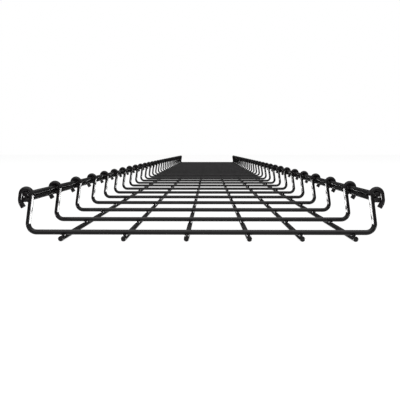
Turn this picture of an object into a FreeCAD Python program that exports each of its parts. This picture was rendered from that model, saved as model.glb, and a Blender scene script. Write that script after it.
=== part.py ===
import FreeCAD, Part
import math
import os
import Sketcher
from FreeCAD import Placement, Rotation, Vector

# Welded wire cable basket, sold by the three metre length. Bent cross wires carry the cable.
# Straight floor wires run under them, and a pair of rail wires lies in the hooks of each side.
# X is across, Y is along, Z is up. The origin is under the middle, on the floor wires' underside.

# Driving sizes in millimetres and degrees, and how many of each wire there are.
SIZES = {
    "wire_dia": 4.5,
    "basket_width": 300,
    "side_rise": 37,
    "side_lean": 8,
    "corner_radius": 7,
    "curl_radius": 8,
    "curl_turn": 38,
    "curl_tip": 2.7,
    "cross_spacing": 100,
    "cross_count": 31,
    "floor_stub": 10,
    "rail_stub": 3,
    "first_floor_wire": -118,
    "wide_mesh": 53,
    "narrow_mesh": 44.5,
    "wide_mesh_count": 3,
    "narrow_mesh_count": 2,
}

# A wire's section is drawn with few sides, because it repeats hundreds of times.
SECTION_SIDES = 8

# Each bend is a run of short chords that touch its true arc from outside.
CORNER_STEPS = 4
HOOK_STEPS = 6
CURL_STEPS = 2
HOOK_TURN = 180

# Shared formulas: from the basket's middle to the foot of a side, the height that a side's two bends
# take up, and the height of the cross wires' middles where they lie on the floor wires.
HALF_WIDTH = "(Sizes.basket_width - Sizes.wire_dia) / 2"
BENDS_RISE = "(Sizes.corner_radius + Sizes.wire_dia) * (1 + sin(Sizes.side_lean))"
CROSS_HEIGHT = "1.5 * Sizes.wire_dia"


def make_sheet(doc):
    sheet = doc.addObject("Spreadsheet::Sheet", "Sizes")
    for row, (name, value) in enumerate(SIZES.items(), start=1):
        sheet.set(f"A{row}", name)
        sheet.set(f"B{row}", str(value))
        sheet.setAlias(f"B{row}", name)
    doc.recompute()
    return sheet


def origin_plane(body, role):
    return next(item for item in body.Origin.OriginFeatures if item.Role == role)


def add_sketch(body, name, role):
    sketch = body.newObject("Sketcher::SketchObject", name)
    sketch.AttachmentSupport = [(origin_plane(body, role), "")]
    sketch.MapMode = "FlatFace"
    return sketch


def bind(sketch, constraint, name, formula):
    """Add a dimension to a sketch, name it and tie it to the sheet."""
    index = sketch.addConstraint(constraint)
    sketch.renameConstraint(index, name)
    sketch.setExpression(f"Constraints.{name}", formula)


def overrun(radius, turn, steps):
    """How far a straight leg runs past its bend's tangent point, to meet the first chord."""
    return f"{radius} * tan(({turn}) / {2 * steps})"


def bend_legs(name, heading, radius, turn, steps, way):
    """The chords of one bend. They start from a heading and turn by way, 1 to the left or -1."""
    legs = []
    for step in range(1, steps):
        angle = f"{heading} + {way} * ({turn}) * {step} / {steps}"
        legs.append((f"{name}_{step}", angle, f"2 * {overrun(radius, turn, steps)}"))
    return legs


def half_wire_legs():
    """Half a cross wire's centre line, from the middle of the floor to the cut end of its hook."""
    corner_radius = "Sizes.corner_radius"
    hook_radius = "Sizes.wire_dia"
    curl_radius = "Sizes.curl_radius"
    corner_turn = "90 + Sizes.side_lean"
    arm_heading = f"Sizes.side_lean + 90 - {HOOK_TURN}"
    corner_run = overrun(corner_radius, corner_turn, CORNER_STEPS)
    hook_run = overrun(hook_radius, HOOK_TURN, HOOK_STEPS)
    curl_run = overrun(curl_radius, "Sizes.curl_turn", CURL_STEPS)

    floor = f"{HALF_WIDTH} - {corner_radius} + {corner_run}"
    side = f"(Sizes.side_rise - {BENDS_RISE}) / cos(Sizes.side_lean) + {corner_run} + {hook_run}"
    arm = f"Sizes.wire_dia + {hook_run} + {curl_run}"

    legs = [("floor", "0", floor)]
    legs += bend_legs("corner", "0", corner_radius, corner_turn, CORNER_STEPS, 1)
    legs.append(("side", corner_turn, side))
    legs += bend_legs("hook", corner_turn, hook_radius, HOOK_TURN, HOOK_STEPS, -1)
    legs.append(("arm", arm_heading, arm))
    legs += bend_legs("curl", arm_heading, curl_radius, "Sizes.curl_turn", CURL_STEPS, -1)
    legs.append(("tip", f"{arm_heading} - Sizes.curl_turn", f"Sizes.curl_tip + {curl_run}"))
    return legs


def draw_path(sketch, legs):
    """Draw the legs end to end from the sketch's origin, each with its heading and length."""
    start = Vector(0, 0, 0)
    for index, (name, heading, length) in enumerate(legs):
        angle = math.radians(float(sketch.evalExpression(heading)))
        reach = float(sketch.evalExpression(length))
        end = start + Vector(math.cos(angle), math.sin(angle), 0) * reach
        sketch.addGeometry(Part.LineSegment(start, end))
        if index == 0:
            sketch.addConstraint(Sketcher.Constraint("Coincident", index, 1, -1, 1))
            sketch.addConstraint(Sketcher.Constraint("Horizontal", index))
        else:
            sketch.addConstraint(Sketcher.Constraint("Coincident", index - 1, 2, index, 1))
            bind(sketch, Sketcher.Constraint("Angle", index, angle), f"{name}_heading", heading)
        bind(sketch, Sketcher.Constraint("Distance", index, reach), f"{name}_length", length)
        start = end


def draw_section(sketch, sides):
    """A regular polygon whose flats touch the round wire, with a flat on top and below."""
    across_corners = f"Sizes.wire_dia / cos(180 / {sides})"
    radius = float(sketch.evalExpression(across_corners)) / 2
    corners = []
    for index in range(sides):
        angle = 2 * math.pi * (index + 0.5) / sides
        corners.append(Vector(radius * math.cos(angle), radius * math.sin(angle), 0))
    for index in range(sides):
        sketch.addGeometry(Part.LineSegment(corners[index], corners[(index + 1) % sides]))
    circle = sketch.addGeometry(Part.Circle(Vector(0, 0, 0), Vector(0, 0, 1), radius), True)
    sketch.addConstraint(Sketcher.Constraint("Coincident", circle, 3, -1, 1))
    for index in range(sides):
        sketch.addConstraint(Sketcher.Constraint("Coincident", index, 2, (index + 1) % sides, 1))
        sketch.addConstraint(Sketcher.Constraint("PointOnObject", index, 1, circle))
    for index in range(1, sides):
        sketch.addConstraint(Sketcher.Constraint("Equal", 0, index))
    top = sides // 4 - 1
    sketch.addConstraint(Sketcher.Constraint("Horizontal", top))
    diameter = Sketcher.Constraint("Diameter", circle, 2 * radius)
    bind(sketch, diameter, "across_corners", across_corners)


def make_cross_wire_form(doc):
    """The bent wire that every cross wire repeats: one half is swept, then mirrored."""
    body = doc.addObject("PartDesign::Body", "cross_wire_form")
    path = add_sketch(body, "centre_line", "XZ_Plane")
    draw_path(path, half_wire_legs())
    section = add_sketch(body, "wire_section", "YZ_Plane")
    draw_section(section, SECTION_SIDES)
    doc.recompute()

    half = body.newObject("PartDesign::AdditivePipe", "half_wire")
    half.Profile = section
    half.Spine = path
    half.Transition = "Right corner"
    doc.recompute()

    whole = body.newObject("PartDesign::Mirrored", "whole_wire")
    whole.Originals = [half]
    whole.MirrorPlane = (origin_plane(body, "YZ_Plane"), [""])
    body.Tip = whole
    doc.recompute()
    return body


def make_cross_wires(doc, form, count):
    wires = []
    for number in range(count):
        wire = doc.addObject("PartDesign::Body", f"cross_wire_{number + 1:02d}")
        wire.BaseFeature = form
        place = f"Sizes.cross_spacing * ({number} - (Sizes.cross_count - 1) / 2)"
        wire.setExpression("Placement.Base.y", place)
        wire.setExpression("Placement.Base.z", CROSS_HEIGHT)
        wires.append(wire)
    return wires


def straight_wire(doc, label, across, up, stub):
    """A round wire that runs the whole length, past the outer cross wires by a stub."""
    wire = doc.addObject("Part::Cylinder", label)
    wire.Placement = Placement(Vector(0, 0, 0), Rotation(Vector(1, 0, 0), -90))
    length = f"(Sizes.cross_count - 1) * Sizes.cross_spacing + 2 * {stub}"
    wire.setExpression("Radius", "Sizes.wire_dia / 2")
    wire.setExpression("Height", length)
    wire.setExpression("Placement.Base.x", across)
    wire.setExpression("Placement.Base.y", f"-({length}) / 2")
    wire.setExpression("Placement.Base.z", up)
    return wire


def make_floor_wires(doc, wide_count, narrow_count):
    wires = []
    for number in range(wide_count + narrow_count + 1):
        wide = min(number, wide_count)
        narrow = number - wide
        across = f"Sizes.first_floor_wire + {wide} * Sizes.wide_mesh + {narrow} * Sizes.narrow_mesh"
        label = f"floor_wire_{number + 1}"
        wires.append(straight_wire(doc, label, across, "Sizes.wire_dia / 2", "Sizes.floor_stub"))
    return wires


def make_rail_wires(doc):
    """Two wires on each side, one above the other, between the two arms of the hooks."""
    corner = f"{HALF_WIDTH} - Sizes.corner_radius * (1 - cos(Sizes.side_lean))"
    drift = f"(Sizes.side_rise - {BENDS_RISE}) * tan(Sizes.side_lean)"
    upper_across = f"{corner} - {drift} + Sizes.wire_dia * cos(Sizes.side_lean)"
    upper_up = f"{CROSS_HEIGHT} + Sizes.side_rise - Sizes.wire_dia"
    lower_across = f"{upper_across} + Sizes.wire_dia * sin(Sizes.side_lean)"
    lower_up = f"{upper_up} - Sizes.wire_dia * cos(Sizes.side_lean)"
    wires = []
    for side, sign in (("left", "-1"), ("right", "1")):
        for level, across, up in (("upper", upper_across, upper_up),
                                  ("lower", lower_across, lower_up)):
            label = f"{side}_{level}_rail_wire"
            wires.append(straight_wire(doc, label, f"{sign} * ({across})", up, "Sizes.rail_stub"))
    return wires


def check(doc, pieces):
    """Stop if anything in the document failed, or a piece isn't one sound solid."""
    for item in doc.Objects:
        if "Invalid" in item.State or "Error" in item.State:
            raise RuntimeError(f"{item.Label} failed: {item.State}")
    for piece in pieces:
        if piece.Shape.isNull() or not piece.Shape.isValid() or len(piece.Shape.Solids) != 1:
            raise RuntimeError(f"{piece.Label} isn't one sound solid")


def main():
    doc = FreeCAD.newDocument("cable_basket")
    sheet = make_sheet(doc)
    form = make_cross_wire_form(doc)
    pieces = make_cross_wires(doc, form, int(sheet.cross_count))
    pieces += make_floor_wires(doc, int(sheet.wide_mesh_count), int(sheet.narrow_mesh_count))
    pieces += make_rail_wires(doc)
    doc.recompute()
    check(doc, pieces)

    os.makedirs("parts", exist_ok=True)
    for piece in pieces:
        piece.Shape.exportStep(f"parts/{piece.Label}.step")
    print(len(pieces), "pieces,", round(form.Shape.Volume), "mm3 in each cross wire")


main()
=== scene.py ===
# %% [markdown]
# # A welded wire cable basket
# The real basket is 41 pieces of steel wire: 31 cross wires bent to a tray's section, 6 floor
# wires under them, and 4 rail wires caught in the hooks. They are welded wherever they meet, then
# powder coated black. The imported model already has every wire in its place. This lesson gives the
# wires their round section, true bends, cut ends, welds and coat, and then lights and frames
# them.

# %% Load the model that fixes every size and place
import math
import random

import bpy
from mathutils import Matrix, Vector


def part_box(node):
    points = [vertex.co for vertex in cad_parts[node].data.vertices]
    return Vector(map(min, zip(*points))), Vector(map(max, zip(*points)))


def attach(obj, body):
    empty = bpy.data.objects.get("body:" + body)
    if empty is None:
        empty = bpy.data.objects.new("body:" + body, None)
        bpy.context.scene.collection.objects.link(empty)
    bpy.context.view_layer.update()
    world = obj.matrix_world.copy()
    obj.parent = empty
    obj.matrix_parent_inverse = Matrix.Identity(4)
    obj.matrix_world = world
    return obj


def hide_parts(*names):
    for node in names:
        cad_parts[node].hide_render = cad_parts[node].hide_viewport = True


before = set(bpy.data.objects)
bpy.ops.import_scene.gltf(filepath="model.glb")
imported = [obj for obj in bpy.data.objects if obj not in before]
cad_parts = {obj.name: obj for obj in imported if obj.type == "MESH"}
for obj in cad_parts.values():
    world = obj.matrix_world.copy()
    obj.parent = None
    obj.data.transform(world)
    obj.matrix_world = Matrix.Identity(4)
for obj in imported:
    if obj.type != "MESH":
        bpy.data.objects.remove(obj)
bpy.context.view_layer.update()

print("wires in the frame:", len(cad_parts))

# %% [markdown]
# ## Measure before bending
# A wire bender works from the wire's thickness and from where the bends begin and end. Nearly all
# of that can be read off the model, so that nothing is typed twice. The first cross wire gives
# the thickness and the floor's height, and the upper right rail wire gives the middle of the hook
# that wraps round it.

# %% Read the wire, the floor and the rails from the frame
cross_nodes = sorted(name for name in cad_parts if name.startswith("cross_wire"))
floor_nodes = sorted(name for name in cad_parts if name.startswith("floor_wire"))
rail_nodes = sorted(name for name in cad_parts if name.endswith("rail_wire"))


def centre_of(node):
    """The middle of a node's box."""
    low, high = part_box(node)
    return (low + high) / 2


first_low, first_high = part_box(cross_nodes[0])
wire = first_high.y - first_low.y
floor_height = first_low.z + wire / 2
rail = centre_of("right_upper_rail_wire")
print("wire", round(wire * 1000, 2), "mm")
print("cross wire's middle", round(floor_height * 1000, 2), "mm up")

# %% [markdown]
# ## Small helpers for edit mode
# Operators act on whatever is selected, and the loaded nodes come in selected. Each new piece
# therefore starts from an empty selection, and has its faces picked in code by where they are or
# which way they face.

# %% Helpers that select and step between modes
merge_distance = 0.00001
smooth_limit = math.radians(40)
facing = 0.9


def select_only(piece):
    """Make one object the only selected one, and the active one."""
    bpy.ops.object.select_all(action="DESELECT")
    piece.select_set(True)
    bpy.context.view_layer.objects.active = piece


def pick_faces(piece, wanted):
    """In edit mode, select the faces that pass a test and no others."""
    bpy.ops.mesh.select_mode(type="FACE")
    bpy.ops.mesh.select_all(action="DESELECT")
    bpy.ops.object.mode_set(mode="OBJECT")
    for face in piece.data.polygons:
        face.select = wanted(face)
    bpy.ops.object.mode_set(mode="EDIT")


def close_mesh(piece):
    """Merge doubled points, turn every face outwards and smooth all but the sharp edges."""
    select_only(piece)
    bpy.ops.object.mode_set(mode="EDIT")
    bpy.ops.mesh.select_all(action="SELECT")
    bpy.ops.mesh.remove_doubles(threshold=merge_distance)
    bpy.ops.mesh.normals_make_consistent(inside=False)
    bpy.ops.object.mode_set(mode="OBJECT")
    bpy.ops.object.shade_smooth_by_angle(angle=smooth_limit)


def count_triangles(piece):
    """How many triangles a piece comes to."""
    return sum(len(face.vertices) - 2 for face in piece.data.polygons)


print("helpers ready")

# %% [markdown]
# ## One cross wire, bent from the middle outwards
# In the factory a straight wire goes into a bender that makes one bend after another. A curve
# with a bevel would follow the same line, but its joints would be guesses. Here a ring of points
# is drawn out like wire: each straight run is an extrude, and each bend is a spin about the
# centre of its real radius. The bends are true arcs, where the model has short chords that lie
# just outside them. Smooth shading blends each ring with both its neighbours, so a run gets a
# ring just inside each end. Without it a bend would tint the whole run, and a reflection that is
# a straight line on a real wire would wander.

# %% Bend half a cross wire
side_lean = math.radians(8)
corner_radius = 0.007
curl_radius = 0.008
curl_turn = math.radians(38)
curl_tip = 0.0027
rim_rounding = 0.0003
guard_step = 0.0003
ring_points = 24
corner_steps = 9
hook_steps = 14
curl_steps = 4


def heading(angle):
    """A unit vector in the cross wire's plane. Angle 0 points right and 90 degrees up."""
    return Vector((math.cos(angle), 0, math.sin(angle)))


def draw_run(run):
    """Pull the selected ring along a straight run, with a guard ring just inside each end."""
    guard = guard_step * run.normalized()
    for part in (guard, run - 2 * guard, guard):
        bpy.ops.mesh.extrude_region_move(TRANSFORM_OT_translate={"value": tuple(part)})


def draw_bend(centre, turn, steps):
    """Spin the selected ring round a centre. A positive turn goes from right to up."""
    bpy.ops.mesh.spin(steps=steps, angle=turn, center=tuple(centre), axis=(0, 1, 0))


outward = heading(side_lean)
up_side = heading(side_lean + math.pi / 2)
hook_centre = Vector((rail.x, 0, rail.z))
hook_start = hook_centre - wire * outward
corner_height = floor_height + corner_radius
sideways = (corner_radius + (corner_height - hook_start.z) * outward.z) / outward.x
corner_centre = Vector((hook_start.x - sideways, 0, corner_height))
side_run = (hook_start - corner_centre - corner_radius * outward).dot(up_side)
arm_end = hook_centre + wire * outward - wire * up_side
curl_centre = arm_end - curl_radius * outward
tip_heading = heading(side_lean - math.pi / 2 - curl_turn)

bpy.ops.object.select_all(action="DESELECT")
bpy.ops.mesh.primitive_circle_add(vertices=ring_points, radius=wire / 2,
                                  location=(0, 0, floor_height), rotation=(0, math.pi / 2, 0))
cross_wire = bpy.context.object
bpy.ops.object.transform_apply(location=True, rotation=True, scale=True)
bpy.ops.object.mode_set(mode="EDIT")
bpy.ops.mesh.select_all(action="SELECT")
draw_run(Vector((corner_centre.x, 0, 0)))
draw_bend(corner_centre, side_lean + math.pi / 2, corner_steps)
draw_run(side_run * up_side)
draw_bend(hook_centre, -math.pi, hook_steps)
draw_run(-wire * up_side)
draw_bend(curl_centre, -curl_turn, curl_steps)
draw_run(curl_tip * tip_heading)
bpy.ops.mesh.edge_face_add()
bpy.ops.mesh.bevel(offset=rim_rounding, segments=2, affect="EDGES")
bpy.ops.object.mode_set(mode="OBJECT")
print("straight side", round(side_run * 1000, 1), "mm, points", len(cross_wire.data.vertices))

# %% [markdown]
# ## Mirror the half
# The bender makes both sides alike. The Mirror modifier copies the half across the middle and
# merges the ring that both halves share. It is applied at once, because the welds are joined to
# this mesh next.

# %% Mirror and close the wire
select_only(cross_wire)
mirror = cross_wire.modifiers.new("other_half", "MIRROR")
mirror.use_clip = True
mirror.merge_threshold = merge_distance
bpy.ops.object.modifier_apply(modifier=mirror.name)
close_mesh(cross_wire)
print("whole cross wire:", count_triangles(cross_wire), "triangles")

# %% [markdown]
# ## The weld at each crossing
# A resistance weld presses two crossing wires together until they soften, and a little steel
# squeezes out into a low bead round the contact. It is small, but it is what the eye finds at a
# crossing, and the coat runs into it and catches the light. One bead is modelled as a disc with
# both rims rounded, then copied.

# %% Model one weld bead
bead_radius = 0.0024
bead_height = 0.0020
bead_rounding = 0.42 * bead_height
bead_points = 12

bpy.ops.object.select_all(action="DESELECT")
bpy.ops.mesh.primitive_cylinder_add(vertices=bead_points, radius=bead_radius, depth=bead_height)
bead = bpy.context.object
bpy.ops.object.mode_set(mode="EDIT")
pick_faces(bead, lambda face: abs(face.normal.z) > facing)
bpy.ops.mesh.bevel(offset=bead_rounding, segments=2, affect="EDGES")
bpy.ops.object.mode_set(mode="OBJECT")
close_mesh(bead)
print("one bead:", count_triangles(bead), "triangles")

# %% Set a bead at each of the ten crossings and join them to the wire
beads = []


def set_bead(place, tilt):
    """Copy the bead to a contact. The tilt leans its axis from upright towards the right."""
    copy = bead.copy()
    copy.data = bead.data.copy()
    bpy.context.collection.objects.link(copy)
    copy.data.transform(Matrix.Translation(place) @ Matrix.Rotation(tilt, 4, "Y"))
    beads.append(copy)


for node in floor_nodes:
    set_bead(Vector((centre_of(node).x, 0, floor_height - wire / 2)), 0)
for node in rail_nodes:
    middle = centre_of(node)
    side = math.copysign(1, middle.x)
    contact = middle - wire / 2 * Vector((side * outward.x, 0, outward.z))
    set_bead(Vector((contact.x, 0, contact.z)), side * (math.pi / 2 - side_lean))

select_only(cross_wire)
for copy in beads:
    copy.select_set(True)
bpy.ops.object.join()
bpy.data.objects.remove(bead)
print("beads:", len(beads), "so the wire has", count_triangles(cross_wire), "triangles")

# %% [markdown]
# ## Thirty-one cross wires
# The wire is finished once, and every copy gets a mesh of its own. The place goes into the mesh
# and not into the object, so that each wire keeps the same origin as the model, and a pattern in
# space doesn't slide.

# %% Copy the cross wire to every node
pieces = {}


def place_copy(pattern, node, move):
    """Copy a finished wire for one node of the frame, with the move in its mesh."""
    piece = pattern.copy()
    piece.data = pattern.data.copy()
    piece.name = f"round_{node}"
    piece.data.name = piece.name
    bpy.context.collection.objects.link(piece)
    piece.data.transform(Matrix.Translation(move))
    pieces[node] = piece
    return piece


for node in cross_nodes:
    place_copy(cross_wire, node, Vector((0, centre_of(node).y, 0)))
bpy.data.objects.remove(cross_wire)
print("cross wires placed:", len(pieces))

# %% [markdown]
# ## The straight wires and their sheared ends
# Floor and rail wires are cut from a coil by a shear, which leaves an end that is never quite
# square and a rim that the coat rounds off. A round bar has both rims rounded, and each copy has
# its end faces tipped a few degrees. The cut is set back a little first, so that no rim passes
# the end that the model gives. A bisect puts a guard ring near each end, for the same reason as
# on the bent wires. The rails stop just past the outer hooks, while the floor wires stand further
# out, so there is one bar for each.

# %% Model the straight wires
bar_points = 32
bar_guard = 0.0015
shear_limit = math.radians(9)
setback = wire / 2 * math.sin(shear_limit)


def make_bar(bar_end):
    """A round bar along Y, centred on the origin, with both rims rounded."""
    bpy.ops.object.select_all(action="DESELECT")
    bpy.ops.mesh.primitive_cylinder_add(vertices=bar_points, radius=wire / 2, depth=2 * bar_end,
                                        rotation=(math.pi / 2, 0, 0))
    bar = bpy.context.object
    bpy.ops.object.transform_apply(location=True, rotation=True, scale=True)
    bpy.ops.object.mode_set(mode="EDIT")
    pick_faces(bar, lambda face: abs(face.normal.y) > facing)
    bpy.ops.mesh.bevel(offset=rim_rounding, segments=3, affect="EDGES")
    for end in (-1, 1):
        bpy.ops.mesh.select_all(action="SELECT")
        bpy.ops.mesh.bisect(plane_co=(0, end * (bar_end - bar_guard), 0), plane_no=(0, 1, 0))
    bpy.ops.object.mode_set(mode="OBJECT")
    close_mesh(bar)
    print("straight wire", round(2 * bar_end, 4), "m long,", count_triangles(bar), "triangles")
    return bar


# %% Place ten straight wires and shear their ends
shear = random.Random(31)
usual_share = 0.7


def tip_end(piece, bar_end, end, middle):
    """Tip one end of a bar about the middle of its cut, by chance, within most of the limit."""
    select_only(piece)
    bpy.ops.object.mode_set(mode="EDIT")
    pick_faces(piece, lambda face: face.center.y * end > bar_end - 2 * rim_rounding)
    cut = (middle.x, end * (bar_end - rim_rounding), middle.z)
    for axis in ("X", "Z"):
        angle = shear.uniform(-usual_share, usual_share) * shear_limit
        bpy.ops.transform.rotate(value=angle, orient_axis=axis, center_override=cut)
    bpy.ops.object.mode_set(mode="OBJECT")


for group in (floor_nodes, rail_nodes):
    bar_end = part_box(group[0])[1].y - setback
    bar = make_bar(bar_end)
    for node in group:
        middle = centre_of(node)
        if node in floor_nodes:
            middle.z = floor_height - wire
        piece = place_copy(bar, node, Vector((middle.x, 0, middle.z)))
        tip_end(piece, bar_end, -1, middle)
        tip_end(piece, bar_end, 1, middle)
    bpy.data.objects.remove(bar)
print("pieces placed:", len(pieces))

# %% [markdown]
# ## Black powder coat
# The finish is polyester powder, sprayed dry and baked until it flows. It never lies as flat as
# paint: a faint orange peel, a few millimetres from crest to crest, breaks up the edge of each
# reflection. The eye gets a deep black with bright lines that wander a little. A plain black
# surface would look like plastic pipe, so the peel is a bump from noise, and slower noise moves
# the gloss and the depth of the black. Coats like this usually have a specular level near 0.5.
# Here it is matched to the object, whose black stays deep face on.

# %% Helpers for colours and nodes
def hex_colour(code):
    """An sRGB hex colour as linear red, green, blue and alpha."""
    shares = [int(code[start:start + 2], 16) / 255 for start in (0, 2, 4)]
    linear = [share / 12.92 if share <= 0.04045 else ((share + 0.055) / 1.055) ** 2.4
              for share in shares]
    return (*linear, 1.0)


def add_node(tree, kind, inputs=None, **settings):
    """Add a node with its settings. An input is a value, or another node's output to link from."""
    node = tree.nodes.new(kind)
    for name, value in settings.items():
        setattr(node, name, value)
    for name, value in (inputs or {}).items():
        if isinstance(value, bpy.types.NodeSocket):
            tree.links.new(value, node.inputs[name])
        else:
            node.inputs[name].default_value = value
    return node


def new_tree(material):
    """Switch a material or world to nodes and empty its tree."""
    material.use_nodes = True
    material.node_tree.nodes.clear()
    return material.node_tree


print("black in linear light:", [round(value, 4) for value in hex_colour("1B191A")[:3]])

# %% Mix the powder coat
peel_wave = 0.0025
peel_depth = 0.000002
shade_wave = 0.012
gloss_low, gloss_high = 0.10, 0.14
noise_low, noise_high = 0.3, 0.7
specular_level = 0.14

powder_coat = bpy.data.materials.new("gloss_black_powder_coat")
tree = new_tree(powder_coat)
place = add_node(tree, "ShaderNodeTexCoord").outputs["Object"]
peel = add_node(tree, "ShaderNodeTexNoise",
                {"Vector": place, "Scale": 1 / peel_wave, "Detail": 1.0})
drift = add_node(tree, "ShaderNodeTexNoise",
                 {"Vector": place, "Scale": 1 / shade_wave, "Detail": 2.0})
black = add_node(tree, "ShaderNodeMix",
                 {0: drift.outputs["Fac"], 6: hex_colour("131213"), 7: hex_colour("1B191A")},
                 data_type="RGBA")
gloss = add_node(tree, "ShaderNodeMapRange",
                 {"Value": drift.outputs["Fac"],
                  "From Min": noise_low, "From Max": noise_high,
                  "To Min": gloss_low, "To Max": gloss_high})
bump = add_node(tree, "ShaderNodeBump",
                {"Height": peel.outputs["Fac"], "Strength": 1.0, "Distance": peel_depth})
coat = add_node(tree, "ShaderNodeBsdfPrincipled",
                {"Base Color": black.outputs[2], "Roughness": gloss.outputs["Result"],
                 "IOR": 1.5, "Specular IOR Level": specular_level,
                 "Normal": bump.outputs["Normal"]})
add_node(tree, "ShaderNodeOutputMaterial", {"Surface": coat.outputs["BSDF"]})

for node, piece in pieces.items():
    piece.data.materials.clear()
    piece.data.materials.append(powder_coat)
    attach(piece, "root")
    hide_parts(node)
print("coated:", len(pieces), "wires, peel", peel_wave * 1000, "mm")

# %% [markdown]
# ## A white table
# The basket lies on a plain white table that runs out of sight. To the camera the table is almost
# white by itself, and the rest of its brightness is real light, so the wires still leave a faint
# shadow. Reflections leave the table out and show the white studio, which is why the coat stays
# clear of a hard dark line. The table casts no shadow either, so that the strips of the next step,
# which hang lower than its top, still show in the wires. The studio is full white to the camera
# and in reflections. It lights the wires at half of that, and the lamp overhead adds the rest, so
# that a colour comes out about as it is written.

# %% Make the table and the white studio
table_size = 16
table_glow = 0.9
studio_light = 0.5
studio_seen = 1.0

bpy.ops.object.select_all(action="DESELECT")
bpy.ops.mesh.primitive_plane_add(size=table_size, location=(0, 0, 0))
table = bpy.context.object
table.name = "white_table"
table.visible_glossy = False
table.visible_shadow = False

table_white = bpy.data.materials.new("white_table_top")
tree = new_tree(table_white)
seen = add_node(tree, "ShaderNodeLightPath")
glow = add_node(tree, "ShaderNodeEmission",
                {"Color": hex_colour("FFFFFF"), "Strength": table_glow})
matt = add_node(tree, "ShaderNodeBsdfDiffuse", {"Color": hex_colour("F2F2F2")})
faint = add_node(tree, "ShaderNodeBsdfDiffuse", {"Color": hex_colour("6A6A6A")})
bright = add_node(tree, "ShaderNodeAddShader", {0: glow.outputs[0], 1: faint.outputs[0]})
choice = add_node(tree, "ShaderNodeMixShader",
                  {0: seen.outputs["Is Camera Ray"], 1: matt.outputs[0], 2: bright.outputs[0]})
add_node(tree, "ShaderNodeOutputMaterial", {"Surface": choice.outputs[0]})
table.data.materials.append(table_white)

world = bpy.data.worlds.new("white_studio")
bpy.context.scene.world = world
tree = new_tree(world)
path = add_node(tree, "ShaderNodeLightPath")
mirrored = add_node(tree, "ShaderNodeMath",
                    {0: path.outputs["Is Glossy Ray"], 1: path.outputs["Is Transmission Ray"]},
                    operation="MAXIMUM")
shown = add_node(tree, "ShaderNodeMath",
                 {0: path.outputs["Is Camera Ray"], 1: mirrored.outputs[0]}, operation="MAXIMUM")
level = add_node(tree, "ShaderNodeMapRange",
                 {"Value": shown.outputs[0], "To Min": studio_light, "To Max": studio_seen})
studio = add_node(tree, "ShaderNodeBackground",
                  {"Color": hex_colour("FFFFFF"), "Strength": level.outputs["Result"]})
add_node(tree, "ShaderNodeOutputWorld", {"Surface": studio.outputs[0]})
print("table", table_size, "m square")

# %% [markdown]
# ## Soft light from above, strips at both sides
# A broad light overhead gives the plain level. It hangs a little towards the viewer, so that the
# cross wires are lighter on top than below. Black gloss shows almost nothing of itself, only what
# it mirrors, so a photographer sets a long strip light at each side. Each upright wire then
# carries one clean white line on the side that faces the middle. The strips hang below the
# table's level, because a wire that is seen from above mirrors what is lower than itself. Their
# spread is narrowed, as by a grid on a softbox, so that the wires that run lengthwise don't flare
# from end to end.

# %% A helper that hangs a light
def soft_light(name, place, aim, size, energy):
    """A rectangular light, turned towards a point. Size is width and height in metres."""
    lamp = bpy.data.lights.new(name, "AREA")
    lamp.shape = "RECTANGLE"
    lamp.size, lamp.size_y = size
    lamp.energy = energy
    holder = bpy.data.objects.new(name, lamp)
    bpy.context.collection.objects.link(holder)
    holder.location = place
    holder.rotation_euler = (Vector(aim) - Vector(place)).to_track_quat("-Z", "Y").to_euler()
    return holder


print("light helper ready")

# %% Place the overhead light and the strips
overhead_place = (0, -2.2, 2.4)
overhead_aim = (0, -1.0, 0)
overhead_size = (3.0, 5.0)
overhead_watts = 85
strip_size = (2.5, 0.28)
strip_watts = 130
strip_spread = math.radians(130)
strip_distance = 1.05
strip_middle = -1.7
strip_level = -0.36

soft_light("overhead", overhead_place, overhead_aim, overhead_size, overhead_watts)
for name, side in (("left_strip", -1), ("right_strip", 1)):
    place = (side * strip_distance, strip_middle, strip_level)
    strip = soft_light(name, place, (0, strip_middle, strip_level), strip_size, strip_watts)
    strip.data.spread = strip_spread
    strip.visible_camera = False
    strip.visible_diffuse = False

# %% [markdown]
# ## Black flags
# A flag is a black card, stood where a gloss should mirror nothing. The one behind the far end
# keeps the rails and floor wires dark, which would mirror the white studio along their whole
# length. The one beside each row of hooks hides the nearer strip, which would eat the outline of
# the bends. Only reflections see the flags, so they leave no shadow and no edge in the picture.
# The cloth is a dark grey, because a card in a lit studio is never quite black.

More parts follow.
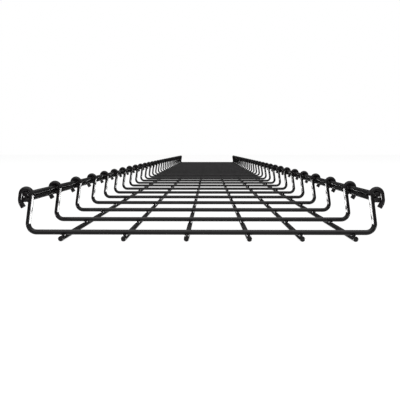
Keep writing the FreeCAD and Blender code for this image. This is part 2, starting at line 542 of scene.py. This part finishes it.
# %% A flag's cloth, and a helper that stands a flag
flag_cloth = bpy.data.materials.new("black_flag_cloth")
tree = new_tree(flag_cloth)
dull = add_node(tree, "ShaderNodeEmission",
                {"Color": hex_colour("484848"), "Strength": 1.0})
add_node(tree, "ShaderNodeOutputMaterial", {"Surface": dull.outputs[0]})


def black_flag(name, place, size, turn):
    """An upright black card that only reflections see. Turn 0 faces along Y, 90 degrees along X."""
    bpy.ops.object.select_all(action="DESELECT")
    bpy.ops.mesh.primitive_plane_add(size=1, location=place, rotation=(math.pi / 2, 0, turn))
    flag = bpy.context.object
    flag.name = name
    flag.scale = (*size, 1)
    flag.visible_camera = False
    flag.visible_diffuse = False
    flag.visible_shadow = False
    flag.visible_transmission = False
    flag.data.materials.append(flag_cloth)


print("flag helper ready")

# %% Stand a flag behind the far end and one beside each side
far_flag_place = (0, 2.5, 0.05)
far_flag_size = (5, 2.3)
side_flag_size = (4.2, 0.1)
side_flag_distance = 0.2
side_flag_middle = -0.5
side_flag_level = 0.02

black_flag("far_flag", far_flag_place, far_flag_size, 0)
for name, side in (("left_flag", -1), ("right_flag", 1)):
    place = (side * side_flag_distance, side_flag_middle, side_flag_level)
    black_flag(name, place, side_flag_size, math.pi / 2)

# %% [markdown]
# ## The camera
# The camera stands a little above the rails, close to the near end, and looks down the length of
# the basket. That makes the first cross wire wide and the last ones tiny. Its distance sets how
# fast they shrink.

# %% Set the camera
near_cross = centre_of(cross_nodes[0])
camera_distance = 0.528
camera_height = 0.0769
camera_aside = 0.0063
pitch_down = math.radians(4.6)
turn_left = math.radians(0.754)
sensor_mm = 36
lens_mm = 56.03

camera_data = bpy.data.cameras.new("camera")
camera = bpy.data.objects.new("camera", camera_data)
bpy.context.collection.objects.link(camera)
camera.location = (camera_aside, near_cross.y - camera_distance, camera_height)
camera.rotation_euler = (math.pi / 2 - pitch_down, 0, turn_left)
camera_data.sensor_width = sensor_mm
camera_data.lens = lens_mm
camera_data.clip_start = 0.01
camera_data.clip_end = 50
bpy.context.scene.camera = camera
bpy.context.scene.view_settings.view_transform = "Standard"
print("camera at", [round(value, 3) for value in camera.location])
